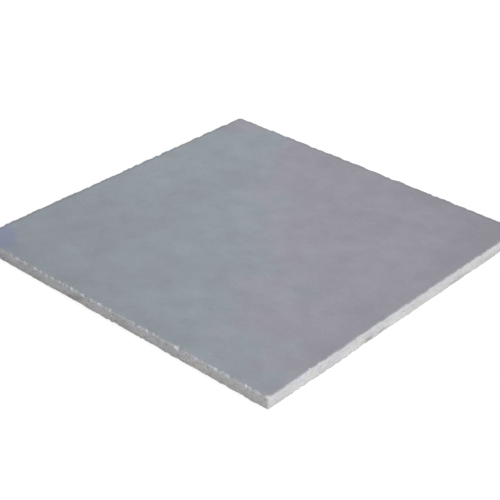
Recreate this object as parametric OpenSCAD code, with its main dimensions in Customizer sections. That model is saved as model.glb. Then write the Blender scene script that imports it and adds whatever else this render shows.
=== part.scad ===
// Cement-bonded particle board: one flat sheet of stock, pressed in one piece and
// sawn to size on all sides. It lies on its underside, centred on the origin in plan.

/* [Board] */
// Length of the board, along X
board_length = 600; // [150:10:3600]
// Width of the board, along Y
board_width = 600; // [150:10:1250]
// Thickness of the board, along Z
board_thickness = 20; // [6:1:40]

/* [Worn edges] */
// Arris lost where the top face meets a sawn edge, measured along both
top_arris = 0.6; // [0.2:0.1:2]
// Arris lost where the underside meets a sawn edge, measured along both
bottom_arris = 0.4; // [0.2:0.1:2]
// Upright corner lost in plan, measured along both edges
corner_wear = 1.5; // [0.5:0.5:5]

/* [Colour] */
// Cement grey of the board
board_colour = "#94979e";

/* [Hidden] */
// How far a cutting section runs past the board, so that no two end faces coincide
overrun = 10;

// The board's outline in plan, with its corners worn off at 45 degrees
module plan_outline() {
    x = board_length / 2;
    y = board_width / 2;
    polygon([
        [x, corner_wear - y], [x, y - corner_wear],
        [x - corner_wear, y], [corner_wear - x, y],
        [-x, y - corner_wear], [-x, corner_wear - y],
        [corner_wear - x, -y], [x - corner_wear, -y]
    ]);
}

// A section through the board, standing on the base line, with its arrises worn off
module edge_section(across) {
    half = across / 2;
    top = board_thickness;
    polygon([
        [bottom_arris - half, 0], [half - bottom_arris, 0],
        [half, bottom_arris], [half, top - top_arris],
        [half - top_arris, top], [top_arris - half, top],
        [-half, top - top_arris], [-half, bottom_arris]
    ]);
}

// The section that runs along Y, which shapes the two edges at the ends of X
module section_along_y() {
    rotate([90, 0, 0])
        linear_extrude(height = board_width + 2 * overrun, center = true)
            edge_section(board_length);
}

// The section that runs along X, which shapes the two edges at the ends of Y
module section_along_x() {
    rotate([90, 0, 90])
        linear_extrude(height = board_length + 2 * overrun, center = true)
            edge_section(board_width);
}

// The whole board: what the plan and both sections have in common
module board() {
    color(board_colour)
        intersection() {
            translate([0, 0, -overrun])
                linear_extrude(height = board_thickness + 2 * overrun)
                    plan_outline();
            section_along_y();
            section_along_x();
        }
}

board();
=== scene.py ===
"""A cement-bonded particle board lying flat, with its worn arrises, its finish and a plain studio.

The board is one pressed piece, sawn on every side. Its blank is a fine closed mesh as large as
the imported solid. The relief of the sawn sides, the break-out along the arrises and the wear of
the corners are cut into that mesh. One procedural finish covers skin, section and fracture.
"""

import logging
import math
import random
from dataclasses import dataclass, field, replace
from enum import Enum

import bmesh
import bpy
import numpy as np
from mathutils import Matrix, Vector, noise


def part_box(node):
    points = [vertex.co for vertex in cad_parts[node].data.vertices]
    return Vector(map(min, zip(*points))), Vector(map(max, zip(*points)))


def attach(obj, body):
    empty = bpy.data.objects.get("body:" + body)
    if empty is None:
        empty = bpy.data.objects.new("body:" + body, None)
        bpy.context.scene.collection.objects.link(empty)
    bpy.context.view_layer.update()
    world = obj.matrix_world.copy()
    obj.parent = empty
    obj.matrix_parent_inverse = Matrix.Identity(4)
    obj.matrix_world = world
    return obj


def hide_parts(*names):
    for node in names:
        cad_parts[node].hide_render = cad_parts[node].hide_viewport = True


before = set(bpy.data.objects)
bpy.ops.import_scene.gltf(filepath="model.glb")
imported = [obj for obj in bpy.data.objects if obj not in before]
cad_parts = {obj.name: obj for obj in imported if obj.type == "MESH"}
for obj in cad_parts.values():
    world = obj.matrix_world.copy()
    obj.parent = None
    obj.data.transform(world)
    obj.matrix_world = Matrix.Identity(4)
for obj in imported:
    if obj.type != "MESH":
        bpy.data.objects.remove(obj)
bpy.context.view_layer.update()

MM = 0.001
BAKE_MAP = "OFBake"
BROKEN = "broken"
PITS = "pits"
TINY = 1e-9
log = logging.getLogger("cement_board")

Triple = tuple[float, float, float]
Colour = tuple[float, float, float, float]
Span = tuple[float, float]


# ---------------------------------------------------------------- small helpers


def tint(red: int, green: int, blue: int) -> Colour:
    """A display colour as the linear one that a socket holds.

    Args:
        red: its red, from 0 to 255.
        green: its green.
        blue: its blue.

    Returns:
        Linear red, green and blue from 0 to 1, and an alpha of 1.
    """
    linear = [
        c / 12.92 if c <= 0.04045 else ((c + 0.055) / 1.055) ** 2.4
        for c in (red / 255, green / 255, blue / 255)
    ]
    return (*linear, 1.0)


def grey(level: int) -> Colour:
    """A display grey of 0 to 255 as the linear colour that a socket holds."""
    return tint(level, level, level)


def mm(*lengths: float) -> tuple[float, ...]:
    """Lengths in millimetres as a tuple of lengths in metres."""
    return tuple(length * MM for length in lengths)


def cube(side: float) -> Triple:
    """A size that is the same along X, Y and Z."""
    return (side, side, side)


def between(span: Span, share: float | np.ndarray) -> float | np.ndarray:
    """The value that lies this share of the way along a span."""
    return span[0] + (span[1] - span[0]) * share


def smooth_step(span: Span, value: np.ndarray) -> np.ndarray:
    """0 below the span, 1 above it and an S-shaped rise along it."""
    t = np.clip((value - span[0]) / (span[1] - span[0]), 0.0, 1.0)
    return t * t * (3.0 - 2.0 * t)


def rough(columns: list[np.ndarray], sizes: tuple[float, ...], seed: float) -> np.ndarray:
    """Smooth seeded noise from about -1 to 1.

    Args:
        columns: one or two coordinates of every point, in metres.
        sizes: how large the noise's features are along each of them, in metres.
        seed: a number that picks one pattern.

    Returns:
        One value for each point.
    """
    scaled = [column / size for column, size in zip(columns, sizes)]
    if len(scaled) < 2:
        scaled.append(np.zeros_like(scaled[0]))
    return np.array([noise.noise((u, v, seed)) for u, v in zip(*scaled)])


# ---------------------------------------------------------------- shader graph


class Wire:
    """An output socket whose arithmetic adds Math nodes to its graph."""

    def __init__(self, graph: "Graph", socket: bpy.types.NodeSocket) -> None:
        """Keep the socket and the graph that new nodes go into."""
        self.graph = graph
        self.socket = socket

    def __getitem__(self, output: str) -> "Wire":
        """A wire from another output of the same node."""
        return Wire(self.graph, self.socket.node.outputs[output])

    def __add__(self, other: "Value") -> "Wire":
        """This plus other."""
        return self.graph.maths("ADD", self, other)

    def __radd__(self, other: "Value") -> "Wire":
        """Other plus this."""
        return self.graph.maths("ADD", other, self)

    def __sub__(self, other: "Value") -> "Wire":
        """This minus other."""
        return self.graph.maths("SUBTRACT", self, other)

    def __rsub__(self, other: "Value") -> "Wire":
        """Other minus this."""
        return self.graph.maths("SUBTRACT", other, self)

    def __mul__(self, other: "Value") -> "Wire":
        """This times other."""
        return self.graph.maths("MULTIPLY", self, other)

    def __rmul__(self, other: "Value") -> "Wire":
        """Other times this."""
        return self.graph.maths("MULTIPLY", other, self)


Value = Wire | float | tuple


@dataclass(frozen=True)
class Cloud:
    """A layer of soft noise round 0.

    Attributes:
        size: how large its features are, in metres.
        detail: how many finer layers it holds.
        shift: slides the pattern, so that like layers differ.
        strength: its value lies mostly within a quarter of this.
    """

    size: Triple
    detail: float
    shift: float
    strength: float = 1.0


@dataclass(frozen=True)
class Cells:
    """A field of cells that each have random values of their own.

    Attributes:
        size: a cell's size, in metres.
        turn: degrees that its length is turned from X towards Y.
        shift: slides the pattern, so that like fields differ.
    """

    size: Triple
    turn: float = 0.0
    shift: float = 0.0


class Graph:
    """A node tree, of a material or of the world, that starts empty."""

    def __init__(self, tree: bpy.types.NodeTree) -> None:
        """Clear the tree."""
        self.tree = tree
        self.tree.nodes.clear()

    def add(
        self,
        kind: str,
        settings: dict[str, object],
        inputs: dict[int | str, Value],
        output: int | str = 0,
    ) -> Wire | None:
        """Add one node of any type.

        Args:
            kind: the node's type.
            settings: its properties, set first; "stops" holds a ramp's positions and colours.
            inputs: a value or a wire for each socket, by name or number.
            output: the socket that the returned wire leaves from.

        Returns:
            A wire from the chosen output, or None from a node that has none.
        """
        node = self.tree.nodes.new(kind)
        for name, setting in settings.items():
            if name == "stops":
                self._set_stops(node.color_ramp, setting)
            else:
                setattr(node, name, setting)
        for key, value in inputs.items():
            if isinstance(value, Wire):
                self.tree.links.new(value.socket, node.inputs[key])
            else:
                node.inputs[key].default_value = value
        return Wire(self, node.outputs[output]) if len(node.outputs) else None

    @staticmethod
    def _set_stops(ramp: bpy.types.ColorRamp, stops: list[tuple[float, Colour]]) -> None:
        """Give a ramp these stops, each a position and a colour.

        Args:
            ramp: the ramp.
            stops: its stops, from 0 to 1.
        """
        while len(ramp.elements) < len(stops):
            ramp.elements.new(1.0)
        for element, (position, colour) in zip(ramp.elements, stops):
            element.position = position
            element.color = colour

    def maths(self, operation: str, first: Value, second: Value = 0.0) -> Wire:
        """A Math node."""
        return self.add("ShaderNodeMath", {"operation": operation}, {0: first, 1: second})

    def vector(
        self, operation: str, first: Value, second: Value | None = None, output: int | str = 0
    ) -> Wire:
        """A Vector Math node of one or two vectors."""
        inputs = {0: first} if second is None else {0: first, 1: second}
        return self.add("ShaderNodeVectorMath", {"operation": operation}, inputs, output)

    def shade(self, colour: Value, factor: Wire) -> Wire:
        """A colour made lighter or darker by a factor."""
        start = colour if isinstance(colour, Wire) else colour[:3]
        return self.add("ShaderNodeVectorMath", {"operation": "SCALE"}, {0: start, "Scale": factor})

    def mix(self, factor: Value, first: Value, second: Value) -> Wire:
        """First and second as colours, mixed by factor."""
        return self.add("ShaderNodeMix", {"data_type": "RGBA"}, {0: factor, 6: first, 7: second}, 2)

    def rise(self, value: Value, span: Span) -> Wire:
        """0 below the span, 1 above it and a smooth step along it."""
        settings = {"interpolation_type": "SMOOTHSTEP"}
        return self.add("ShaderNodeMapRange", settings, {0: value, 1: span[0], 2: span[1]})

    def near(self, distance: Wire, span: Span) -> Wire:
        """1 closer than the span, 0 beyond it and a smooth step along it."""
        return 1.0 - self.rise(distance, span)

    def ramp(self, value: Value, stops: list[tuple[float, Colour]]) -> Wire:
        """A colour ramp over value."""
        return self.add("ShaderNodeValToRGB", {"stops": stops}, {0: value})

    def laid(self, where: Wire, lattice: Cells) -> Wire:
        """Coordinates in which each cell is a unit cube.

        Args:
            where: coordinates in metres.
            lattice: the cells' size and lie.

        Returns:
            The new coordinates.
        """
        return self.add("ShaderNodeMapping", {"vector_type": "TEXTURE"}, {
            "Vector": where,
            "Location": (lattice.shift, -lattice.shift, lattice.shift),
            "Rotation": (0.0, 0.0, math.radians(lattice.turn)),
            "Scale": lattice.size,
        })

    def cloud(self, where: Wire, layer: Cloud) -> Wire:
        """The value of a layer of noise.

        Args:
            where: coordinates in metres.
            layer: what the noise is like.

        Returns:
            Values round 0.
        """
        spread = self.laid(where, Cells(layer.size, 0.0, layer.shift))
        inputs = {"Vector": spread, "Scale": 1.0, "Detail": layer.detail}
        value = self.add("ShaderNodeTexNoise", {}, inputs) - 0.5
        return value if layer.strength == 1.0 else value * layer.strength

    def swayed(self, where: Wire, size: float, reach: Triple) -> Wire:
        """Coordinates bent by noise of that size, by up to about half of reach each way.

        Args:
            where: coordinates in metres.
            size: how large the noise's features are.
            reach: twice how far it bends them along X, Y and Z.

        Returns:
            The bent coordinates.
        """
        inputs = {"Vector": where, "Scale": 1.0 / size, "Detail": 1.0}
        bend = self.add("ShaderNodeTexNoise", {}, inputs, "Color")
        offset = self.vector("MULTIPLY", self.vector("SUBTRACT", bend, cube(0.5)), reach)
        return self.vector("ADD", where, offset)

    def cells(self, where: Wire, lattice: Cells) -> tuple[Wire, Wire, Wire]:
        """A field of cells.

        Args:
            where: coordinates in metres.
            lattice: the cells' size and lie.

        Returns:
            The distance from each cell's middle, and two random values of each cell.
        """
        inputs = {"Vector": self.laid(where, lattice), "Scale": 1.0}
        cell = self.add("ShaderNodeTexVoronoi", {}, inputs)
        pick = self.add("ShaderNodeSeparateColor", {}, {0: cell["Color"]}, "Red")
        return cell, pick, pick["Green"]


def new_material(name: str) -> tuple[bpy.types.Material, Graph]:
    """A new material and its empty graph.

    Args:
        name: what the material is called.

    Returns:
        The material, and the graph to fill.
    """
    material = bpy.data.materials.new(name)
    material.use_nodes = True
    return material, Graph(material.node_tree)


# ---------------------------------------------------------------- finishes


@dataclass(frozen=True)
class Place:
    """Wires that say where on the board a point lies, with lengths in metres.

    Attributes:
        where: object coordinates.
        depth: how far it is below the nearer face.
        level: 0 at the underside and 1 at the top face.
        inset: how far it is in from the nearest side.
        back: how far it is from the side at +Y.
        left: how far it is from the side at -X.
        fore: how far it is from the nearer of the sides at +X and -Y.
        across: 0 at the corner at -X, -Y and 1 at the corner at +X, +Y.
        aside: 0 at the corner at +X, -Y and 1 at the corner at -X, +Y.
        hue: as across, but turned a little towards +X.
        pits: how deep the saw tore there, in millimetres.
        broken: 0 where the board is sound and 1 in deep break-out.
    """

    where: Wire
    depth: Wire
    level: Wire
    inset: Wire
    back: Wire
    left: Wire
    fore: Wire
    across: Wire
    aside: Wire
    hue: Wire
    pits: Wire
    broken: Wire

    @classmethod
    def on_board(cls, graph: Graph, length: float, width: float, thickness: float) -> "Place":
        """The wires for a board that is centred in plan and stands on the floor.

        Args:
            graph: the tree they go into.
            length: the board's size along X.
            width: its size along Y.
            thickness: its size along Z.

        Returns:
            The wires.
        """
        where = graph.add("ShaderNodeTexCoord", {}, {}, "Object")
        x = graph.add("ShaderNodeSeparateXYZ", {}, {0: where}, "X")
        y, z = x["Y"], x["Z"]
        end_x = length / 2 - graph.maths("ABSOLUTE", x)
        end_y = width / 2 - graph.maths("ABSOLUTE", y)
        hue_turn = 0.8
        return cls(
            where=where,
            depth=thickness / 2 - graph.maths("ABSOLUTE", z - thickness / 2),
            level=z * (1.0 / thickness),
            inset=graph.maths("MINIMUM", end_x, end_y),
            back=width / 2 - y,
            left=x + length / 2,
            fore=graph.maths("MINIMUM", length / 2 - x, width / 2 + y),
            across=(x + y) * (1.0 / (length + width)) + 0.5,
            aside=(y - x) * (1.0 / (length + width)) + 0.5,
            hue=(x + y * hue_turn) * (1.0 / (length + width * hue_turn)) + 0.5,
            pits=graph.add("ShaderNodeAttribute", {"attribute_name": PITS}, {}, "Fac"),
            broken=graph.add("ShaderNodeAttribute", {"attribute_name": BROKEN}, {}, "Fac"),
        )


@dataclass(frozen=True)
class Spots:
    """Spots in some of the cells of a field.

    Attributes:
        cells: the field; a spot lies round the middle of its cell.
        edge: how far from the middle a spot ends, as shares of a cell.
        picked: the random values between which cells come to have a spot.
        vary: how much larger the largest spot is than the smallest, as a share of a cell.
    """

    cells: Cells
    edge: Span
    picked: Span
    vary: float = 0.0

    def show(self, graph: Graph, where: Wire) -> Wire:
        """1 in the spots and 0 elsewhere."""
        distance, pick, size = graph.cells(where, self.cells)
        return graph.near(distance - size * self.vary, self.edge) * graph.rise(pick, self.picked)


@dataclass(frozen=True)
class Patch:
    """A patch of another colour round one place of the face.

    Attributes:
        middle: the patch's middle, in metres.
        reach: the distances between which it fades out.
        share: how strongly it shows.
    """

    middle: Triple
    reach: Span
    share: float

    def show(self, graph: Graph, where: Wire) -> Wire:
        """The patch's share in its middle and 0 beyond its reach."""
        away = graph.vector("DISTANCE", where, self.middle, "Value")
        return graph.near(away, self.reach) * self.share


@dataclass(frozen=True)
class PressedSkin:
    """The smooth cement skin of both faces, from blue-grey to lilac-grey, faintly cloudy, with
    painted light and shade across it.

    A share is how strongly a layer lightens, darkens or shows, and a height is in millimetres.
    """

    blue: Colour = tint(148, 155, 162)
    lilac: Colour = tint(152, 151, 160)
    fleck: Colour = tint(176, 179, 182)
    stain: Colour = tint(135, 141, 162)
    middle_grey: int = 153
    # painted light: the skin is lighter in the middle across the face and darker towards the
    # corners at -X, -Y and +X, +Y
    painted_light_greys: tuple[tuple[float, int], ...] = (
        (0.0, 145), (0.22, 150), (0.55, 156), (0.75, 154), (1.0, 149),
    )
    sway: Cloud = Cloud(cube(110 * MM), 3.0, 0.2)
    ragged: Cloud = Cloud(cube(60 * MM), 4.0, 4.1, 0.30)
    sway_of_light: float = 0.15
    sway_of_hue: float = 0.35
    hue_edge: Span = (0.49, 0.60)
    stain_patch: Patch = Patch(mm(-293, -302, 20), mm(46, 66), 0.9)
    lilac_tip: Patch = Patch(mm(-300, 300, 20), mm(25, 80), 0.5)
    # painted shade towards the sides at +X, -Y and +Y, and painted light towards the side at -X
    painted_shade_fore: Span = mm(20, 65)
    painted_shade_fore_share: float = 0.036
    painted_shade_back: Span = mm(50, 100)
    painted_shade_back_share: float = 0.022
    painted_light_left: Span = mm(10, 170)
    painted_light_share: float = 0.034
    level: float = 0.943
    # painted light: the face grows paler towards the corner at -X, +Y, against the lamp's fall of
    # light from +X
    painted_tilt_share: float = 0.052
    mottle: Cloud = Cloud(cube(35 * MM), 4.0, 0.9, 0.19)
    broad: Cloud = Cloud(cube(100 * MM), 3.0, 2.7)
    broad_edge: Span = (-0.05, 0.05)
    broad_share: float = 0.040
    patches: Cloud = Cloud(cube(34 * MM), 4.0, 5.2)
    patch_edge: Span = (-0.04, 0.04)
    patch_share: float = 0.027
    grain: Cloud = Cloud(cube(2.2 * MM), 3.0, 1.7)
    grain_share: float = 0.16
    grain_height: float = 0.05
    ghosts: tuple[Cells, ...] = (
        Cells((9 * MM, 3.2 * MM, 1.0), 15.0, 0.0),
        Cells((11 * MM, 3.2 * MM, 1.0), 70.0, 0.37),
        Cells((13 * MM, 3.2 * MM, 1.0), 130.0, 0.74),
    )
    ghost_edge: Span = (0.22, 0.42)
    ghost_share: float = 0.07
    ghost_height: float = 0.02
    fleck_bend: float = 3 * MM
    fleck_reach: Triple = mm(4, 4, 0)
    flecks: Spots = Spots(
        Cells((26 * MM, 9 * MM, 1.0), 40.0, 0.5), (0.03, 0.14), (0.70, 0.90), 0.10
    )
    fleck_share: float = 0.30
    # painted shade: the pores are darkened in colour as well as sunk
    pores: Spots = Spots(Cells((6 * MM, 6 * MM, 1.0), 0.0, 0.8), (0.03, 0.07), (0.55, 0.60))
    pore_shade_share: float = 0.25
    pore_depth: float = 0.12
    roughness: float = 0.74

    def _ghosts(self, graph: Graph, where: Wire) -> Wire:
        """Flat wood particles that show faintly through the skin, as values round 0.

        Args:
            graph: the tree they go into.
            where: object coordinates.

        Returns:
            Their values, and 0 between them.
        """
        layers = []
        for cells in self.ghosts:
            distance, pick, _ = graph.cells(where, cells)
            layers.append(graph.near(distance, self.ghost_edge) * (pick - 0.5))
        return layers[0] + layers[1] + layers[2]

    def _ground(self, graph: Graph, place: Place) -> Wire:
        """The skin's colour before its small features, with painted light and shade across the
        face.

        Args:
            graph: the tree it goes into.
            place: where on the board a point lies.

        Returns:
            The colour.
        """
        sway = graph.cloud(place.where, self.sway)
        stops = [(position, grey(level)) for position, level in self.painted_light_greys]
        # painted light and shade: the brightness ramp across the face
        light = graph.ramp(place.across + sway * self.sway_of_light, stops)
        turned = place.hue + sway * self.sway_of_hue + graph.cloud(place.where, self.ragged)
        tip = self.lilac_tip.show(graph, place.where)
        lilac_here = graph.rise(turned + tip, self.hue_edge)
        lit = graph.vector("MULTIPLY", graph.mix(lilac_here, self.blue, self.lilac), light)
        ground = graph.vector("DIVIDE", lit, grey(self.middle_grey)[:3])
        return graph.mix(self.stain_patch.show(graph, place.where), ground, self.stain)

    def _painted_edge_light(self, graph: Graph, place: Place) -> Wire:
        """Painted shade towards the sides at +X, -Y and +Y and painted light towards the side at
        -X, as shares of the light.

        Args:
            graph: the tree it goes into.
            place: where on the board a point lies.

        Returns:
            The lost share, below 0 where light is gained.
        """
        fore = graph.near(place.fore, self.painted_shade_fore) * self.painted_shade_fore_share
        back = graph.near(place.back, self.painted_shade_back) * self.painted_shade_back_share
        return fore + back - graph.near(place.left, self.painted_light_left) * self.painted_light_share

    def dress(self, graph: Graph, place: Place) -> tuple[Wire, Wire]:
        """The skin's colour and relief.

        Args:
            graph: the tree it goes into.
            place: where on the board a point lies.

        Returns:
            The colour, and the height in millimetres.
        """
        where = place.where
        ghosts = self._ghosts(graph, where)
        grain = graph.cloud(where, self.grain)
        # painted light: the tilt makes the face paler towards the corner at -X, +Y
        shade = self.level + place.aside * self.painted_tilt_share + graph.cloud(where, self.mottle)
        shade += graph.rise(graph.cloud(where, self.broad), self.broad_edge) * self.broad_share
        shade += graph.rise(graph.cloud(where, self.patches), self.patch_edge) * self.patch_share
        shade += ghosts * self.ghost_share + grain * self.grain_share
        # painted shade towards three sides and painted light towards the side at -X
        shade -= self._painted_edge_light(graph, place)
        loose = graph.swayed(where, self.fleck_bend, self.fleck_reach)
        flecks = self.flecks.show(graph, loose) * self.fleck_share
        pores = self.pores.show(graph, where)
        # painted shade in the pores
        ground = graph.shade(self._ground(graph, place), shade - pores * self.pore_shade_share)
        height = grain * self.grain_height + ghosts * self.ghost_height - pores * self.pore_depth
        return graph.mix(flecks, ground, self.fleck), height


@dataclass(frozen=True)
class Sliver:
    """A size of wood particle, cut across, that lies flat in the section.

    Attributes:
        cells: the field whose cells hold one particle each.
        share: how strongly its colour shows.
    """

    cells: Cells
    share: float


@dataclass(frozen=True)
class StrayParticle:
    """One large, dark particle that shows on a sawn side.

    Attributes:
        centre: its middle, in metres.
        half: half of its size along X, Y and Z, in metres.
        share: how strongly its colour shows.
    """

    centre: Triple
    half: Triple
    share: float


@dataclass(frozen=True)
class SawnSection:
    """The sawn section: pale cement paste with flat wood particles lying in it, and painted shade
    in its pores and pits.

    A share is how strongly a layer lightens, darkens or shows, and a height is in millimetres.
    """

    paste: Colour = tint(191, 192, 195)
    cool: Colour = tint(191, 190, 202)
    warm: Colour = tint(192, 193, 184)
    crust_blue: Colour = tint(184, 191, 198)
    crust_lilac: Colour = tint(195, 192, 197)
    bark: Colour = tint(142, 136, 122)
    straw: Colour = tint(196, 191, 178)
    chalk: Colour = tint(213, 212, 208)
    stone: Colour = tint(174, 176, 178)
    stray: Colour = tint(142, 141, 132)
    # painted shade: the pores' dark colour stands in for the shade in them
    painted_pore_shade: Colour = tint(120, 119, 116)
    roughness: float = 0.92
    bend: float = 6 * MM
    bend_reach: Triple = mm(6, 6, 2)
    hue: Cloud = Cloud(mm(22, 22, 16), 1.0, 1.9)
    tone: Cloud = Cloud(mm(26, 26, 20), 1.0, 3.3)
    soft_edge: Span = (-0.10, 0.10)
    even_hue: float = 0.55
    lean_of_hue: float = 0.10
    lean_of_tone: float = 0.50
    tint_share: float = 0.5
    crust_level: Span = (0.2, 1.0)
    crust_share: float = 0.45
    grain: Cloud = Cloud(mm(1.4, 1.4, 0.9), 3.0, 0.6)
    grain_share: float = 0.24
    grain_height: float = 0.16
    scoring: Cloud = Cloud(mm(1.6, 1.6, 50), 1.0, 1.1)
    scoring_share: float = 0.12
    scoring_height: float = 0.08
    lumps: Cloud = Cloud(mm(3.6, 3.6, 2.2), 2.0, 2.6, 0.5)
    layers: Cloud = Cloud(mm(12, 12, 2.6), 3.0, 0.3, 0.24)
    drift: Cloud = Cloud(mm(50, 50, 12), 2.0, 0.8)
    drift_share: Span = (0.44, 0.18)
    level_share: float = 0.05
    # partly dust and partly painted shade in the saw's pits and torn holes
    pit_shade_share: float = 0.26
    pores: Spots = Spots(
        Cells(mm(4.5, 4.5, 1.1), 0.0, 0.7), (0.10, 0.24), (0.84, 0.90)
    )
    pore_depths: Span = mm(1.5, 6.0)
    pore_shade_share: float = 0.4
    pore_height: float = 0.25
    sliver_vary: float = 0.22
    sliver_edge: Span = (-0.34, -0.24)
    sliver_height: float = 0.12
    slivers: tuple[Sliver, ...] = (
        Sliver(Cells(mm(12, 12, 2.2)), 0.45),
        Sliver(Cells(mm(5, 5, 0.9), 0.0, 0.4), 0.40),
    )
    stray_edge: Span = (0.35, 1.05)
    strays: tuple[StrayParticle, ...] = (
        StrayParticle(mm(-84, -300, 4.5), mm(16, 4, 3.2), 0.65),
        StrayParticle(mm(-69, -300, 9.0), mm(14, 4, 4.6), 0.35),
        StrayParticle(mm(-52, -300, 3.5), mm(18, 4, 2.4), 0.25),
        StrayParticle(mm(300, -87, 4.6), mm(4, 14, 5.6), 0.58),
        StrayParticle(mm(300, -58, 4.4), mm(4, 12, 3.4), 0.35),
        StrayParticle(mm(300, 128, 4.5), mm(4, 36, 4.0), 0.30),
        StrayParticle(mm(300, 226, 6.0), mm(4, 40, 6.0), 0.30),
    )

    def _paste(self, graph: Graph, place: Place) -> Wire:
        """The cement's colour, which leans to the skin's hue towards the top.

        Args:
            graph: the tree it goes into.
            place: where on the board a point lies.

        Returns:
            The colour.
        """
        lean = place.hue - self.even_hue
        hue = graph.cloud(place.where, self.hue) - lean * self.lean_of_hue
        tone = graph.cloud(place.where, self.tone) + lean * self.lean_of_tone
        tinted = graph.mix(graph.rise(hue, self.soft_edge), self.warm, self.cool)
        crust = graph.mix(graph.rise(tone, self.soft_edge), self.crust_blue, self.crust_lilac)
        high = graph.rise(place.level, self.crust_level) * self.crust_share
        return graph.mix(high, graph.mix(self.tint_share, self.paste, tinted), crust)

    def dress(self, graph: Graph, place: Place) -> tuple[Wire, Wire]:
        """The section's colour and relief.

        Args:
            graph: the tree it goes into.
            place: where on the board a point lies.

        Returns:
            The colour, and the height in millimetres.
        """
        where = place.where
        swayed = graph.swayed(where, self.bend, self.bend_reach)
        grain = graph.cloud(where, self.grain)
        scoring = graph.cloud(where, self.scoring)
        colour = self._paste(graph, place)
        height = grain * self.grain_height + scoring * self.scoring_height
        height += graph.cloud(where, self.lumps)
        for kind in self.slivers:
            distance, pick, size = graph.cells(swayed, kind.cells)
            inside = graph.rise(size * self.sliver_vary - distance, self.sliver_edge)
            wood = graph.ramp(pick, [
                (0.0, self.bark), (0.08, self.straw), (0.45, self.chalk),
                (0.62, self.paste), (1.0, self.stone),
            ])
            colour = graph.mix(inside * kind.share, colour, wood)
            height += inside * (pick - 0.5) * self.sliver_height
        for particle in self.strays:
            offset = graph.vector("SUBTRACT", swayed, particle.centre)
            scaled = graph.vector("DIVIDE", offset, particle.half)
            away = graph.vector("LENGTH", scaled, output="Value")
            dark = graph.near(away, self.stray_edge) * particle.share
            colour = graph.mix(dark, colour, self.stray)
        pores = self.pores.show(graph, swayed) * graph.rise(place.depth, self.pore_depths)
        drift = graph.cloud(where, self.drift) * between(self.drift_share, place.level)
        shade = 1.0 + place.level * self.level_share + graph.cloud(where, self.layers) + drift
        shade += grain * self.grain_share + scoring * self.scoring_share
        # partly dust and partly painted shade in the saw's pits
        shade -= place.pits * self.pit_shade_share
        # painted shade in the pores
        colour = graph.mix(pores * self.pore_shade_share, colour, self.painted_pore_shade)
        return graph.shade(colour, shade), height - pores * self.pore_height


@dataclass(frozen=True)
class FreshBreak:
    """Fracture in the chips: clean cement, paler than the sawn section."""

    cement: Colour = tint(194, 200, 207)
    cover: float = 0.60
    grain: Cloud = Cloud(cube(1.4 * MM), 3.0, 2.2)
    grain_share: float = 0.35
    grain_height: float = 0.30

    def dress(self, graph: Graph, where: Wire) -> tuple[Wire, Wire]:
        """The fracture's colour and relief.

        Args:
            graph: the tree it goes into.
            where: object coordinates.

        Returns:
            The colour, and the height in millimetres.
        """
        grain = graph.cloud(where, self.grain)
        colour = graph.shade(self.cement, 1.0 + grain * self.grain_share)
        return colour, grain * self.grain_height


@dataclass(frozen=True)
class BoardFinish:
    """The board's one material: skin on the faces, section on the sides, fracture in chips."""

    skin: PressedSkin = PressedSkin()
    section: SawnSection = SawnSection()
    fresh: FreshBreak = FreshBreak()
    skin_depths: Span = mm(0.15, 1.35)
    rub_width: Span = mm(0, 6.0)
    rub_share: float = 0.16
    rub_uneven: Cloud = Cloud(cube(6 * MM), 2.0, 0.4, 0.7)
    # a thin darker band along the arrises at +Y and -X
    dark_band_reach: Span = mm(4.0, 9.0)
    dark_band_depth: Span = mm(1.0, 5.0)
    dark_band_back: float = 0.11
    dark_band_left: float = 0.17
    specular: float = 0.35

    def _far_arris_darkening(self, graph: Graph, place: Place) -> Wire:
        """The share by which a thin band along the arrises at +Y and -X is made darker.

        Args:
            graph: the tree it goes into.
            place: where on the board a point lies.

        Returns:
            The share that is lost.
        """
        back = graph.near(place.back, self.dark_band_reach) * self.dark_band_back
        left = graph.near(place.left, self.dark_band_reach) * self.dark_band_left
        return (back + left) * graph.near(place.depth, self.dark_band_depth)

    def build(self, length: float, width: float, thickness: float) -> bpy.types.Material:
        """Make the material.

        Args:
            length: the board's size along X.
            width: its size along Y.
            thickness: its size along Z.

        Returns:
            The finished material.
        """
        material, graph = new_material("cement_board")
        place = Place.on_board(graph, length, width, thickness)
        rub = self.rub_share + graph.cloud(place.where, self.rub_uneven)
        rubbed = graph.near(place.inset, self.rub_width) * rub
        skin_here = graph.near(place.depth, self.skin_depths) * (1.0 - rubbed)
        broken = place.broken * self.fresh.cover
        skin, skin_height = self.skin.dress(graph, place)
        section, section_height = self.section.dress(graph, place)
        fresh, fresh_height = self.fresh.dress(graph, place.where)
        clean = graph.mix(broken, graph.mix(skin_here, section, skin), fresh)
        # a thin darker band along the arrises at +Y and -X
        colour = graph.shade(clean, 1.0 - self._far_arris_darkening(graph, place))
        height = section_height + skin_here * (skin_height - section_height)
        height += broken * fresh_height
        smoother = self.skin.roughness - self.section.roughness
        bump = graph.add(
            "ShaderNodeBump", {}, {"Strength": 1.0, "Distance": MM, "Height": height}, "Normal"
        )
        shader = graph.add("ShaderNodeBsdfPrincipled", {}, {
            "Base Color": colour,
            "Roughness": self.section.roughness + skin_here * smoother,
            "Normal": bump,
            "Specular IOR Level": self.specular,
        })
        graph.add("ShaderNodeOutputMaterial", {}, {"Surface": shader})
        return material


# ---------------------------------------------------------------- shape of the board


class Side(Enum):
    """The four sawn sides, each by its outward direction in plan."""

    PLUS_X = (1, 0)
    MINUS_X = (-1, 0)
    PLUS_Y = (0, 1)
    MINUS_Y = (0, -1)

    @property
    def number(self) -> int:
        """The side's place in the list of sides."""
        return list(Side).index(self)

    @property
    def seed(self) -> float:
        """A number that gives each side its own noise."""
        return 20.0 + 7.3 * self.number


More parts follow.
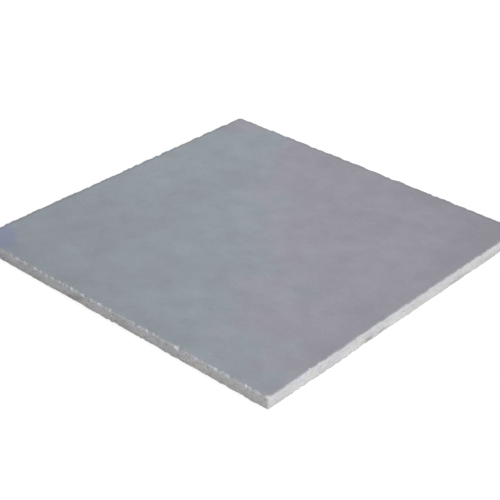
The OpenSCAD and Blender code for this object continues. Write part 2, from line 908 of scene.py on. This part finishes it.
@dataclass(frozen=True)
class SawCut:
    """How rough the saw left one side.

    Attributes:
        grain: the mean depth of its fine grain.
        torn: how deep the holes of torn-out particles are.
        grain_size: how large the grain's features are, along the side and upwards.
        torn_size: how large the holes are, along the side and upwards.
        torn_edge: the values of their noise between which the holes' walls lie.
    """

    grain: float
    torn: float
    grain_size: Span = mm(5, 2.4)
    torn_size: Span = mm(5.5, 2.2)
    torn_edge: Span = (0.22, 0.60)


class Cut(Enum):
    """The two ways in which the saw left the sides."""

    TIDY = SawCut(0.12 * MM, 0.42 * MM)
    RAGGED = SawCut(0.20 * MM, 0.95 * MM)


@dataclass(frozen=True)
class Chip:
    """One chip broken out of an arris.

    Attributes:
        place: where its middle lies along the arris.
        length: how long it is.
        reach: how far it goes across the face.
        drop: how far it goes down the side.
        lean: how far its deepest point is from its middle, from -1 to 1 for an end.
        clean: how clean its fracture is; 0 is old and worn.
        fullness: below 1 its ends are steep, above 1 they are drawn out.
    """

    place: float
    length: float
    reach: float
    drop: float
    lean: float = 0.0
    clean: float = 1.0
    fullness: float = 0.6

    @property
    def seed(self) -> float:
        """A number that gives each chip its own noise."""
        return self.place * 900

    def profile(self, along: np.ndarray) -> np.ndarray:
        """How deep it is at places along the arris, as a share of its full depth.

        Args:
            along: the places.

        Returns:
            The share at each of them, from 0 to 1.
        """
        offset = (along - self.place) / (self.length / 2)
        rising = (offset + 1.0) / (self.lean + 1.0)
        falling = (1.0 - offset) / (1.0 - self.lean)
        return np.clip(np.minimum(rising, falling), 0.0, 1.0) ** self.fullness


@dataclass(frozen=True)
class BreakOut:
    """How one arris crumbled under the saw and in handling.

    Attributes:
        reach: least and most width of the crumbled strip across the face.
        drop: least and most depth of the strip down the side.
        wander: how long the strip's widest swells are.
        pitch: mean distance from one chip to the next.
        chip_length: shortest and longest chip.
        chip_reach: how far the chips reach across the face, least and most.
        chip_drop: how far they reach down the side, least and most.
        fresh: how clean the fracture is, from 0 for an old worn one to 1.
        large: chips that stand out, each in its own place.
        spacing: least and most distance between scattered chips, as shares of the pitch.
        rarity: the higher it is, the fewer of them are large.
        shallow: least and most share of its depth that a chip of its size keeps.
        lean: least and most lean of their deepest points.
        clean: how clean they are, least and most.
    """

    reach: Span
    drop: Span
    wander: float
    pitch: float
    chip_length: Span
    chip_reach: Span
    chip_drop: Span
    fresh: float
    large: tuple[Chip, ...] = ()
    spacing: Span = (0.45, 1.55)
    rarity: float = 1.6
    shallow: Span = (0.4, 1.0)
    lean: Span = (-0.7, 0.7)
    clean: Span = (0.2, 1.0)

    def chips(self, span: float, seed: int) -> list[Chip]:
        """Scatter chips along an arris.

        Args:
            span: the arris's length.
            seed: picks the chips.

        Returns:
            The scattered chips and then the large ones.
        """
        picker = random.Random(seed)
        found = []
        place = -span / 2
        while place < span / 2:
            place += self.pitch * picker.uniform(*self.spacing)
            size = picker.random() ** self.rarity
            found.append(Chip(
                place,
                between(self.chip_length, (size + picker.random()) / 2),
                between(self.chip_reach, size),
                between(self.chip_drop, picker.uniform(*self.shallow) * size),
                picker.uniform(*self.lean),
                picker.uniform(*self.clean),
            ))
        return found + list(self.large)


class Wear(Enum):
    """The ways in which arrises crumbled, most of all where the saw left the board."""

    SAW_EXIT = BreakOut(
        reach=mm(0.3, 1.5), drop=mm(1.4, 4.6), wander=8 * MM, pitch=9 * MM,
        chip_length=mm(5, 12), chip_reach=mm(0.8, 2.8),
        chip_drop=mm(2.4, 5.2), fresh=0.75,
        large=(
            Chip(*mm(-290, 12, 2.0, 4.4), 0.3, 0.6),
            Chip(*mm(-270, 10, 1.8, 4.2), -0.3, 0.6),
            Chip(*mm(-240, 14, 1.6, 4.6), 0.2, 0.4),
            Chip(*mm(-207, 14, 2.4, 5.0), 0.5, 1.0),
            Chip(*mm(-184, 12, 2.2, 4.6), -0.2, 0.7),
            Chip(*mm(-163, 11, 2.4, 5.0), -0.3, 0.9),
            Chip(*mm(-151, 9, 2.2, 4.6), 0.1, 0.8),
            Chip(*mm(-137, 10, 2.0, 4.8), 0.2, 0.8),
            Chip(*mm(-124, 9, 2.0, 4.4), 0.0, 0.6),
            Chip(*mm(-83, 13, 3.2, 5.2), 0.4, 0.8),
            Chip(*mm(-71, 10, 2.4, 4.6), -0.2, 0.5),
            Chip(*mm(-20, 15, 3.4, 6.0), -0.1, 1.2),
            Chip(*mm(48, 10, 2.4, 4.6), 0.1, 0.5),
            Chip(*mm(76, 12, 2.8, 5.2), 0.3, 1.0),
            Chip(*mm(98, 10, 2.2, 4.8), -0.4, 0.6),
            Chip(*mm(134, 14, 4.0, 6.2), 0.2, 1.3),
            Chip(*mm(173, 11, 2.4, 4.8), -0.2, 0.6),
            Chip(*mm(207, 13, 3.2, 5.6), 0.3, 1.0),
            Chip(*mm(232, 11, 2.8, 5.2), 0.0, 0.7),
            Chip(*mm(264, 13, 3.2, 5.4), -0.3, 0.9),
            Chip(*mm(283, 10, 2.4, 4.8), 0.2, 0.5),
        ),
    )
    CLEAN = BreakOut(
        reach=mm(0.5, 2.5), drop=mm(0.2, 1.4), wander=11 * MM, pitch=16 * MM,
        chip_length=mm(6, 16), chip_reach=mm(0.8, 2.8),
        chip_drop=mm(0.5, 1.6), fresh=0.25,
        large=(Chip(*mm(-215, 9, 4.2, 1.8), 0.2),),
    )
    WORN = BreakOut(
        reach=mm(-1.6, 2.2), drop=mm(-1.2, 1.7), wander=12 * MM, pitch=26 * MM,
        chip_length=mm(6, 20), chip_reach=mm(0.8, 4.4),
        chip_drop=mm(0.5, 2.2), fresh=0.1,
    )
    UNDER = BreakOut(
        reach=mm(-0.6, 1.4), drop=mm(-0.6, 1.6), wander=26 * MM, pitch=12 * MM,
        chip_length=mm(4, 12), chip_reach=mm(0.4, 2.0),
        chip_drop=mm(0.4, 2.2), fresh=0.1,
    )
    UNDER_HOLLOW = replace(UNDER, large=(Chip(*mm(-286, 62, 3.0, 1.5), -0.3),))


@dataclass(frozen=True)
class SawnSide:
    """One side of the board.

    Attributes:
        side: which side.
        cut: how the saw left it.
        top: how its top arris wore.
        under: how its lower arris wore.
    """

    side: Side
    cut: Cut
    top: Wear
    under: Wear


@dataclass(frozen=True)
class CornerLoss:
    """A piece lost from one corner of the top face, as a slanting cut.

    Attributes:
        corner: which way the corner lies along X and Y.
        leg: how far the cut reaches along each arris.
        drop: how far it reaches down the upright corner.
        uneven: how uneven the cut is, as a share of its depth.
        lump: how large its lumps are.
    """

    corner: tuple[int, int]
    leg: float
    drop: float
    uneven: float = 0.12
    lump: float = 2.5 * MM

    @property
    def seed(self) -> float:
        """A number that gives each loss its own noise."""
        return self.leg * 1e4


@dataclass(frozen=True)
class Fracture:
    """What the fracture of a crumbled arris is like close up.

    Attributes:
        band: how far from the arris it can reach.
        lump: how large its lumps are.
        lump_share: how much deeper it is in them, as a share.
        bend: how far the chips' ends are bent along the arris.
        bend_size: how large those bends are, along the arris and round it.
        ripple: how long the ripples on the crumbled strip's swells are.
        ripple_share: how high they are, as a share of the swells.
        swell_middle: the share of its full size that the strip has between swells.
        swell_share: how much the swells add to it or take away.
        swell_most: the largest share that it comes to have.
        chip_edge: how long the ripples on the chips' edges are.
        chip_edge_share: how high they are, as a share of the chip.
        strip_hollow: how round the strip is cut, from 0 for flat to 1 for a scoop.
        strip_clean: how clean its fracture is.
        chip_hollow: how round the chips are cut.
    """

    band: float = 8 * MM
    lump: float = 2.2 * MM
    lump_share: float = 0.25
    bend: float = 1.5 * MM
    bend_size: Span = mm(5, 1.8)
    ripple: float = 2.1 * MM
    ripple_share: float = 0.4
    swell_middle: float = 0.5
    swell_share: float = 0.8
    swell_most: float = 1.3
    chip_edge: float = 3.2 * MM
    chip_edge_share: float = 0.3
    strip_hollow: float = 0.2
    strip_clean: float = 0.8
    chip_hollow: float = 0.6


@dataclass
class Arris:
    """One arris while it is cut.

    Attributes:
        board: the board that it belongs to.
        points: every vertex of the board, changed in place.
        sunk: how far inwards the saw moved each vertex of this side.
        side: the sawn side that it belongs to.
        top: it is the top face's arris, or else the underside's.
        how: how it crumbled.
        seed: picks its chips and its noise.
        form: what the fracture is like close up.
        close: which vertices are close enough to be cut.
        along: where each of those lies along the arris.
        bent: the same, bent so that the chips' ends run unevenly.
        uneven: the share by which the fracture is deeper there.
        lost: how far each vertex was cut back, times how clean the fracture is.
    """

    board: "Board"
    points: np.ndarray
    sunk: np.ndarray
    side: Side
    top: bool
    how: BreakOut
    seed: int
    form: Fracture = Fracture()
    close: np.ndarray = field(init=False)
    along: np.ndarray = field(init=False)
    bent: np.ndarray = field(init=False)
    uneven: np.ndarray = field(init=False)
    lost: np.ndarray = field(init=False)

    def __post_init__(self) -> None:
        """Find the close vertices and lay the noise over them."""
        along, inset = self.board.seen_from(self.points, self.side)
        depth = self._depth(self.points[:, 2])
        self.close = np.flatnonzero((inset < self.form.band) & (depth < self.form.band))
        self.along, inset, depth = along[self.close], inset[self.close], depth[self.close]
        lump = (self.form.lump, self.form.lump)
        lumps = rough([self.along, inset + depth], lump, self.seed + 0.5)
        bends = rough([self.along, inset - depth], self.form.bend_size, self.seed + 0.9)
        self.uneven = self.form.lump_share * lumps
        self.bent = self.along + self.form.bend * bends
        self.lost = np.zeros(len(self.points))

    def _depth(self, height: np.ndarray) -> np.ndarray:
        """How far from the arris's own face these heights are."""
        return self.board.thickness - height if self.top else height

    def _cut(
        self, here: np.ndarray, reach: np.ndarray, drop: np.ndarray, hollow: float, clean: float
    ) -> None:
        """Cut some of the close vertices back.

        Args:
            here: which of the close vertices.
            reach: how far the cut goes across the face, at each of them.
            drop: how far it goes down the side.
            hollow: 0 for a flat cut, 1 for a round scoop.
            clean: how clean the fracture is.
        """
        chosen = self.close[here]
        nx, ny = self.side.value
        up = 1.0 if self.top else -1.0
        reach, drop = np.maximum(reach, TINY), np.maximum(drop, TINY)
        _, inset = self.board.seen_from(self.points[chosen], self.side)
        inside = np.maximum(inset - self.sunk[chosen], 0.0) / reach
        below = self._depth(self.points[chosen, 2]) / drop
        skew = np.clip(inside - below, -1.0, 1.0)
        floor = 1.0 + hollow * (np.sqrt(2.0 - skew ** 2) - 1.0)
        back = np.clip(floor - inside - below, 0.0, None) / 2 * (1.0 + self.uneven[here])
        self.points[chosen, 0] -= nx * reach * back
        self.points[chosen, 1] -= ny * reach * back
        self.points[chosen, 2] -= up * drop * back
        self.lost[chosen] += np.hypot(reach, drop) * back * clean

    def _crumble(self) -> None:
        """Cut the strip that crumbled along the whole arris."""
        form, how = self.form, self.how
        ripple = form.ripple_share * rough([self.along], (form.ripple,), self.seed + 0.8)
        swell = rough([self.along], (how.wander,), self.seed + 0.3) + ripple
        ragged = np.clip(form.swell_middle + form.swell_share * swell, 0.0, form.swell_most)
        reach, drop = between(how.reach, ragged), between(how.drop, ragged)
        every = np.arange(len(self.close))
        self._cut(every, reach, drop, form.strip_hollow, form.strip_clean)

    def _break_out(self, chip: Chip) -> None:
        """Cut one chip.

        Args:
            chip: where and how large it is.
        """
        share = chip.profile(self.bent)
        here = np.flatnonzero(share > 0.0)
        if len(here):
            uneven = rough([self.bent[here]], (self.form.chip_edge,), chip.seed)
            edge = 1.0 + self.form.chip_edge_share * uneven
            reach, drop = chip.reach * share[here] * edge, chip.drop * share[here] * edge
            self._cut(here, reach, drop, self.form.chip_hollow, chip.clean)

    def wear(self) -> np.ndarray:
        """Crumble the arris and break its chips out.

        Returns:
            How far each vertex was cut back, times how fresh that looks.
        """
        self._crumble()
        for chip in self.how.chips(self.board.span(self.side), self.seed):
            self._break_out(chip)
        return self.lost * self.how.fresh


@dataclass
class Board:
    """The board's mesh: a fine blank that the saw's relief, break-out and wear are cut into.

    Attributes:
        length: its size along X.
        width: its size along Y.
        thickness: its size along Z.
        coarse_cells: how many cells each face starts with, each way.
        fine_bands: how far in from the sides the cells are halved, once for each band.
        band_slack: how far past its band a vertex may lie.
        side_rows: how many rows of cells stand up each side.
        gather_power: how strongly the outermost rows are drawn towards the arrises.
        even_rows: the share of the sides' rows' spacing that stays even.
        waves: the depth, length and seed of each of the saw's waves.
        sides: how each side was cut and wore.
        upright_wear: how far the upright corners are worn back.
        upright_band: how far from them vertices may move.
        upright_lump: how long the lumps in that wear are.
        upright_uneven: how high they are, as a share of the wear.
        upright_fresh: how fresh the wear looks, from 0 to 1.
        losses: the pieces lost from corners.
        full_break: how deep break-out is where it looks wholly broken.
        unfold_rounds: how many times turned faces are evened out at most.
        sharp_angle: the degrees between two faces past which their edge is sharp.
        map_row: the height of each side's row in the bake map.
        map_margin: the gap round each field of that map.
        seed: picks the chips of the first top arris, and so of them all.
        under_seed: what is added to it for the lower arrises.
    """

    length: float
    width: float
    thickness: float
    coarse_cells: int = 75
    fine_bands: tuple[float, ...] = mm(24, 12, 4)
    band_slack: float = 0.01 * MM
    side_rows: int = 20
    gather_power: float = 1.5
    even_rows: float = 0.35
    waves: tuple[Triple, ...] = (
        (0.8 * MM, 120 * MM, 0.0), (0.7 * MM, 45 * MM, 1.7), (0.35 * MM, 16 * MM, 3.1),
    )
    sides: tuple[SawnSide, ...] = (
        SawnSide(Side.PLUS_X, Cut.TIDY, Wear.CLEAN, Wear.UNDER_HOLLOW),
        SawnSide(Side.MINUS_X, Cut.TIDY, Wear.WORN, Wear.UNDER),
        SawnSide(Side.PLUS_Y, Cut.TIDY, Wear.WORN, Wear.UNDER),
        SawnSide(Side.MINUS_Y, Cut.RAGGED, Wear.SAW_EXIT, Wear.UNDER),
    )
    upright_wear: float = 0.7 * MM
    upright_band: float = 3 * MM
    upright_lump: float = 4 * MM
    upright_uneven: float = 0.5
    upright_fresh: float = 0.3
    losses: tuple[CornerLoss, ...] = (
        CornerLoss((1, -1), 8.0 * MM, 3.0 * MM),
        CornerLoss((-1, 1), 6.0 * MM, 7.0 * MM),
    )
    full_break: float = 1.5 * MM
    unfold_rounds: int = 8
    sharp_angle: float = 32.0
    map_row: float = 0.085
    map_margin: float = 0.006
    seed: int = 11
    under_seed: int = 40

    def blank(self) -> bmesh.types.BMesh:
        """The clean slab, with its mesh finest along the arrises.

        Returns:
            A closed mesh that stands on the floor, centred in plan.
        """
        bm = bmesh.new()
        cells = self.coarse_cells
        bmesh.ops.create_grid(bm, x_segments=cells, y_segments=cells, size=0.5)
        bmesh.ops.scale(bm, vec=(self.length, self.width, 1.0), verts=bm.verts)
        for band in self.fine_bands:
            limit = band + self.band_slack
            near = [e for e in bm.edges if all(self._inset(v.co) < limit for v in e.verts)]
            bmesh.ops.subdivide_edges(bm, edges=near, cuts=1, use_grid_fill=True)
        raised = bmesh.ops.extrude_face_region(bm, geom=bm.faces[:])
        top = [v for v in raised["geom"] if isinstance(v, bmesh.types.BMVert)]
        bmesh.ops.translate(bm, vec=(0.0, 0.0, self.thickness), verts=top)
        upright = [
            e for e in bm.edges if abs(e.verts[0].co.z - e.verts[1].co.z) > self.thickness / 2
        ]
        bmesh.ops.subdivide_edges(bm, edges=upright, cuts=self.side_rows - 1, use_grid_fill=True)
        bmesh.ops.recalc_face_normals(bm, faces=bm.faces)
        self._lay_out(bm)
        return bm

    def _inset(self, place: Vector) -> float:
        """How far a place in plan lies inside the outline."""
        return min(self.length / 2 - abs(place.x), self.width / 2 - abs(place.y))

    def _lay_out(self, bm: bmesh.types.BMesh) -> None:
        """Give the clean slab its bake map: both faces side by side, the sides in rows below.

        Args:
            bm: the clean slab.
        """
        layer = bm.loops.layers.uv.new(BAKE_MAP)
        for face in bm.faces:
            across_field, along_field = self._map_field(face.normal)
            for loop in face.loops:
                place = loop.vert.co
                across = place.x / self.length + 0.5
                along = place.y / self.width + 0.5
                if abs(face.normal.z) < 0.5:
                    across = across if abs(face.normal.y) > 0.5 else along
                    along = place.z / self.thickness
                loop[layer].uv = (between(across_field, across), between(along_field, along))

    def _map_field(self, normal: Vector) -> tuple[Span, Span]:
        """The field of the bake map for faces with this normal, across and upwards.

        Args:
            normal: the faces' normal.

        Returns:
            The field's ends across, and its ends upwards.
        """
        gap = self.map_margin
        if abs(normal.z) > 0.5:
            left = 0.0 if normal.z > 0.0 else 0.5
            return (left + gap, left + 0.5 - gap), (len(Side) * self.map_row + gap, 1.0 - gap)
        row = Side((round(normal.x), round(normal.y))).number
        return (gap, 1.0 - gap), (row * self.map_row + gap, (row + 1) * self.map_row - gap)

    def span(self, side: Side) -> float:
        """How long a side is."""
        return self.width if side.value[0] else self.length

    def seen_from(self, points: np.ndarray, side: Side) -> tuple[np.ndarray, np.ndarray]:
        """How far each point lies along a side, and how far in from it.

        Args:
            points: the points.
            side: the side that they are measured from.

        Returns:
            The distances along, and the distances in.
        """
        nx, ny = side.value
        along = points[:, 1] if nx else points[:, 0]
        half = (self.length if nx else self.width) / 2
        return along, half - (points[:, 0] * nx + points[:, 1] * ny)

    def _gather(self, points: np.ndarray) -> None:
        """Draw the outer rows of both faces and the end rows of the sides towards the arrises.

        Args:
            points: every vertex, changed in place.
        """
        band = self.fine_bands[-1]
        for axis, size in ((0, self.length), (1, self.width)):
            inset = size / 2 - np.abs(points[:, axis])
            near = inset < band
            drawn = band * (inset[near] / band) ** self.gather_power
            points[near, axis] = np.sign(points[near, axis]) * (size / 2 - drawn)
        share = points[:, 2] / self.thickness
        eased = (1.0 - np.cos(np.pi * share)) / 2
        points[:, 2] = self.thickness * (self.even_rows * share + (1.0 - self.even_rows) * eased)

    def _saw(self, points: np.ndarray, sawn: SawnSide) -> tuple[np.ndarray, np.ndarray]:
        """Give one sawn side its slight waves, its grain and the holes of torn-out particles.

        Args:
            points: every vertex, changed in place.
            sawn: the side that is sawn.

        Returns:
            How far inwards each vertex moved, and how deep the saw tore there, in millimetres.
        """
        cut, seed, band = sawn.cut.value, sawn.side.seed, self.fine_bands[-1]
        nx, ny = sawn.side.value
        every_along, every_inset = self.seen_from(points, sawn.side)
        near = every_inset < band
        along, inset, up = every_along[near], every_inset[near], points[near, 2]
        wander = sum(depth * rough([along], (size,), seed + at) for depth, size, at in self.waves)
        grain = cut.grain * (1 + rough([along, up], cut.grain_size, seed + 5.7))
        holes = rough([along, up], cut.torn_size, seed + 9.2)
        torn = cut.torn * smooth_step(cut.torn_edge, holes)
        inwards = (wander + grain + torn) * (1.0 - inset / band)
        points[near, 0] -= nx * inwards
        points[near, 1] -= ny * inwards
        sunk, pits = np.zeros(len(points)), np.zeros(len(points))
        sunk[near] = inwards
        pits[near] = (grain + torn) / MM
        return sunk, pits

    def _lose_corner(self, points: np.ndarray, loss: CornerLoss) -> np.ndarray:
        """Cut one top corner back.

        Args:
            points: every vertex, changed in place.
            loss: the piece that was lost.

        Returns:
            How far each vertex moved.
        """
        sx, sy = loss.corner
        normal = np.array([sx / loss.leg, sy / loss.leg, 1.0 / loss.drop])
        normal /= np.linalg.norm(normal)
        corner = np.array([sx * self.length / 2, sy * self.width / 2, self.thickness])
        below = (corner - points) @ normal
        lumps = rough([points[:, 0], points[:, 1]], (loss.lump, loss.lump), loss.seed)
        depth = loss.leg * abs(normal[0]) * (1.0 + loss.uneven * lumps)
        back = np.clip(depth - below, 0.0, None)
        points -= back[:, None] * normal
        return back

    def _wear_upright(self, points: np.ndarray, corner: tuple[int, int]) -> np.ndarray:
        """Wear one upright corner.

        Args:
            points: every vertex, changed in place.
            corner: which way the corner lies along X and Y.

        Returns:
            How far each vertex moved, times how fresh that looks.
        """
        sx, sy = corner
        normal = np.array([sx, sy, 0.0]) / math.sqrt(2)
        edge = np.array([sx * self.length / 2, sy * self.width / 2, 0.0])
        below = (edge - points) @ normal
        near = below < self.upright_band
        lumps = rough([points[near, 2]], (self.upright_lump,), sx * 3.0 + sy)
        amount = self.upright_wear * (1.0 + self.upright_uneven * lumps)
        back = np.zeros(len(points))
        back[near] = np.clip(amount - below[near], 0.0, None)
        points -= back[:, None] * normal
        return back * self.upright_fresh

    def shape(self, points: np.ndarray) -> tuple[np.ndarray, np.ndarray]:
        """Cut the relief, the break-out and the wear into the blank.

        Args:
            points: every vertex of the blank, changed in place.

        Returns:
            How far each vertex was cut back by break-out and wear, and how deep the saw tore
            there, in millimetres.
        """
        self._gather(points)
        sawn = [self._saw(points, side) for side in self.sides]
        lost = np.zeros(len(points))
        for number, (side, (sunk, _)) in enumerate(zip(self.sides, sawn)):
            seed = self.seed + number
            under_seed = seed + self.under_seed
            for top, how, own in ((True, side.top, seed), (False, side.under, under_seed)):
                lost += Arris(self, points, sunk, side.side, top, how.value, own).wear()
        for sx in (-1, 1):
            for sy in (-1, 1):
                lost += self._wear_upright(points, (sx, sy))
        for loss in self.losses:
            lost += self._lose_corner(points, loss)
        return lost, np.max([pits for _, pits in sawn], axis=0)

    def _unfold(self, bm: bmesh.types.BMesh, before: list[Vector]) -> None:
        """Even out the few faces that the cuts turned over.

        Args:
            bm: the cut mesh.
            before: every face's normal in the blank.
        """
        every_axis = {"use_axis_x": True, "use_axis_y": True, "use_axis_z": True}
        for _ in range(self.unfold_rounds):
            bm.normal_update()
            pairs = zip(bm.faces, before)
            turned = [face for face, normal in pairs if face.normal.dot(normal) < 0.0]
            if not turned:
                return
            corners = list(dict.fromkeys(vertex for face in turned for vertex in face.verts))
            bmesh.ops.smooth_vert(bm, verts=corners, factor=0.5, **every_axis)

    def build(self) -> bpy.types.Object:
        """Make the board.

        Returns:
            The finished object, at the origin, with its place in its mesh.
        """
        bm = self.blank()
        points = np.array([v.co for v in bm.verts])
        lost, pits = self.shape(points)
        bm.normal_update()
        before = [face.normal.copy() for face in bm.faces]
        for vertex, point in zip(bm.verts, points):
            vertex.co = point
        self._unfold(bm, before)
        mesh = bpy.data.meshes.new("board")
        bm.to_mesh(mesh)
        bm.free()
        for name, values in ((BROKEN, np.clip(lost / self.full_break, 0.0, 1.0)), (PITS, pits)):
            layer = mesh.attributes.new(name, "FLOAT", "POINT")
            layer.data.foreach_set("value", values.astype(np.float32))
        mesh.shade_smooth()
        mesh.set_sharp_from_angle(angle=math.radians(self.sharp_angle))
        board = bpy.data.objects.new("pressed_board", mesh)
        bpy.context.scene.collection.objects.link(board)
        mesh.materials.append(BoardFinish().build(self.length, self.width, self.thickness))
        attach(board, "root")
        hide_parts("board")
        return board


# ---------------------------------------------------------------- studio


@dataclass(frozen=True)
class SoftBox:
    """A square soft lamp that faces the board.

    Attributes:
        name: what it is called.
        azimuth: degrees from +X towards +Y.
        elevation: degrees above the floor.
        distance: metres from the board's middle.
        size: length of a side.
        level: how bright a white surface that faces it looks, where 1 is white.
    """

    name: str
    azimuth: float
    elevation: float
    distance: float
    size: float
    level: float

    def build(self) -> None:
        """Hang the lamp."""
        lamp = bpy.data.lights.new(self.name, "AREA")
        lamp.shape = "SQUARE"
        lamp.size = self.size
        lamp.energy = self.level * math.pi ** 2 * self.distance ** 2
        holder = bpy.data.objects.new(self.name, lamp)
        turn, lift = math.radians(self.azimuth), math.radians(self.elevation)
        flat = math.cos(lift)
        away = Vector((math.cos(turn) * flat, math.sin(turn) * flat, math.sin(lift)))
        holder.location = away * self.distance
        holder.rotation_euler = away.to_track_quat("Z", "Y").to_euler()
        holder.visible_camera = False
        bpy.context.scene.collection.objects.link(holder)


@dataclass(frozen=True)
class View:
    """The camera, over the front corner and looking down on the top face.

    Attributes:
        azimuth: degrees from +X towards +Y.
        elevation: degrees above the floor.
        roll: degrees that the camera leans to the side.
        distance: metres from the place that it aims at.
        aim: that place.
        lens: focal length, in millimetres.
        sensor: width of the sensor, in millimetres.
        farthest: how far it sees, in metres.
    """

    azimuth: float = 41.65
    elevation: float = 30.83
    roll: float = 0.945
    distance: float = 2.0035
    aim: Triple = (0.0331, -0.0406, 0.020)
    lens: float = 94.1
    sensor: float = 36.0
    farthest: float = 50.0

    def build(self) -> None:
        """Stand the camera up."""
        turn = (
            Matrix.Rotation(math.radians(self.azimuth), 4, "Z")
            @ Matrix.Rotation(math.pi / 2 - math.radians(self.elevation), 4, "X")
            @ Matrix.Rotation(math.radians(self.roll), 4, "Z")
        )
        stand = Vector(self.aim) + turn.to_3x3() @ Vector((0, 0, self.distance))
        camera = bpy.data.cameras.new("camera")
        camera.lens = self.lens
        camera.sensor_width = self.sensor
        camera.clip_end = self.farthest
        holder = bpy.data.objects.new("camera", camera)
        holder.matrix_world = Matrix.Translation(stand) @ turn
        bpy.context.scene.collection.objects.link(holder)
        bpy.context.scene.camera = holder


@dataclass(frozen=True)
class Studio:
    """A plain pale floor, soft lamps and the camera."""

    lamps: tuple[SoftBox, ...] = (
        SoftBox("key", 4.0, 42.0, 30.0, 20.0, 1.007),
        SoftBox("fill", -64.0, 14.0, 1.0, 0.4, 0.072),
    )
    view: View = View()
    room_light: float = 0.38
    floor_half: float = 8.0
    floor_grey: float = 0.75
    shadow_share: float = 0.25
    floor_glow: float = 0.80

    def _seen(self, graph: Graph) -> Wire:
        """1 for the rays that show the background: from the camera, a gloss or clear glass.

        Args:
            graph: the tree it goes into.

        Returns:
            1 for those rays and 0 for the rest.
        """
        path = graph.add("ShaderNodeLightPath", {}, {}, "Is Camera Ray")
        rays = path + path["Is Glossy Ray"] + path["Is Transmission Ray"]
        return graph.maths("MINIMUM", rays, 1.0)

    def floor(self) -> None:
        """Lay the floor, white to the eye but for the board's own soft shadow."""
        bm = bmesh.new()
        bmesh.ops.create_grid(bm, x_segments=1, y_segments=1, size=self.floor_half)
        mesh = bpy.data.meshes.new("floor")
        bm.to_mesh(mesh)
        bm.free()
        material, graph = new_material("pale_floor")
        plain = graph.add("ShaderNodeBsdfDiffuse", {}, {"Color": (*cube(self.floor_grey), 1.0)})
        faint = graph.add("ShaderNodeBsdfDiffuse", {}, {"Color": (*cube(self.shadow_share), 1.0)})
        glow = graph.add("ShaderNodeEmission", {}, {"Strength": self.floor_glow})
        shown = graph.add("ShaderNodeAddShader", {}, {0: faint, 1: glow})
        shader = graph.add("ShaderNodeMixShader", {}, {0: self._seen(graph), 1: plain, 2: shown})
        graph.add("ShaderNodeOutputMaterial", {}, {"Surface": shader})
        mesh.materials.append(material)
        floor = bpy.data.objects.new("floor", mesh)
        bpy.context.scene.collection.objects.link(floor)

    def world(self) -> None:
        """Fill the room with even light, and show it white."""
        world = bpy.data.worlds.new("studio")
        world.use_nodes = True
        bpy.context.scene.world = world
        graph = Graph(world.node_tree)
        strength = self.room_light + self._seen(graph) * (1.0 - self.room_light)
        background = graph.add("ShaderNodeBackground", {}, {"Strength": strength})
        graph.add("ShaderNodeOutputWorld", {}, {"Surface": background})

    def build(self) -> None:
        """Set the whole studio up."""
        self.floor()
        self.world()
        for lamp in self.lamps:
            lamp.build()
        self.view.build()
        bpy.context.scene.view_settings.view_transform = "Standard"


def main() -> None:
    """Build the board and its studio, and log the board's faces."""
    logging.basicConfig(level=logging.INFO, format="%(name)s: %(message)s")
    low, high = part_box("board")
    board = Board(high.x - low.x, high.y - low.y, high.z - low.z).build()
    log.info("%s: %d faces", board.name, len(board.data.polygons))
    Studio().build()


if __name__ == "__main__":
    main()
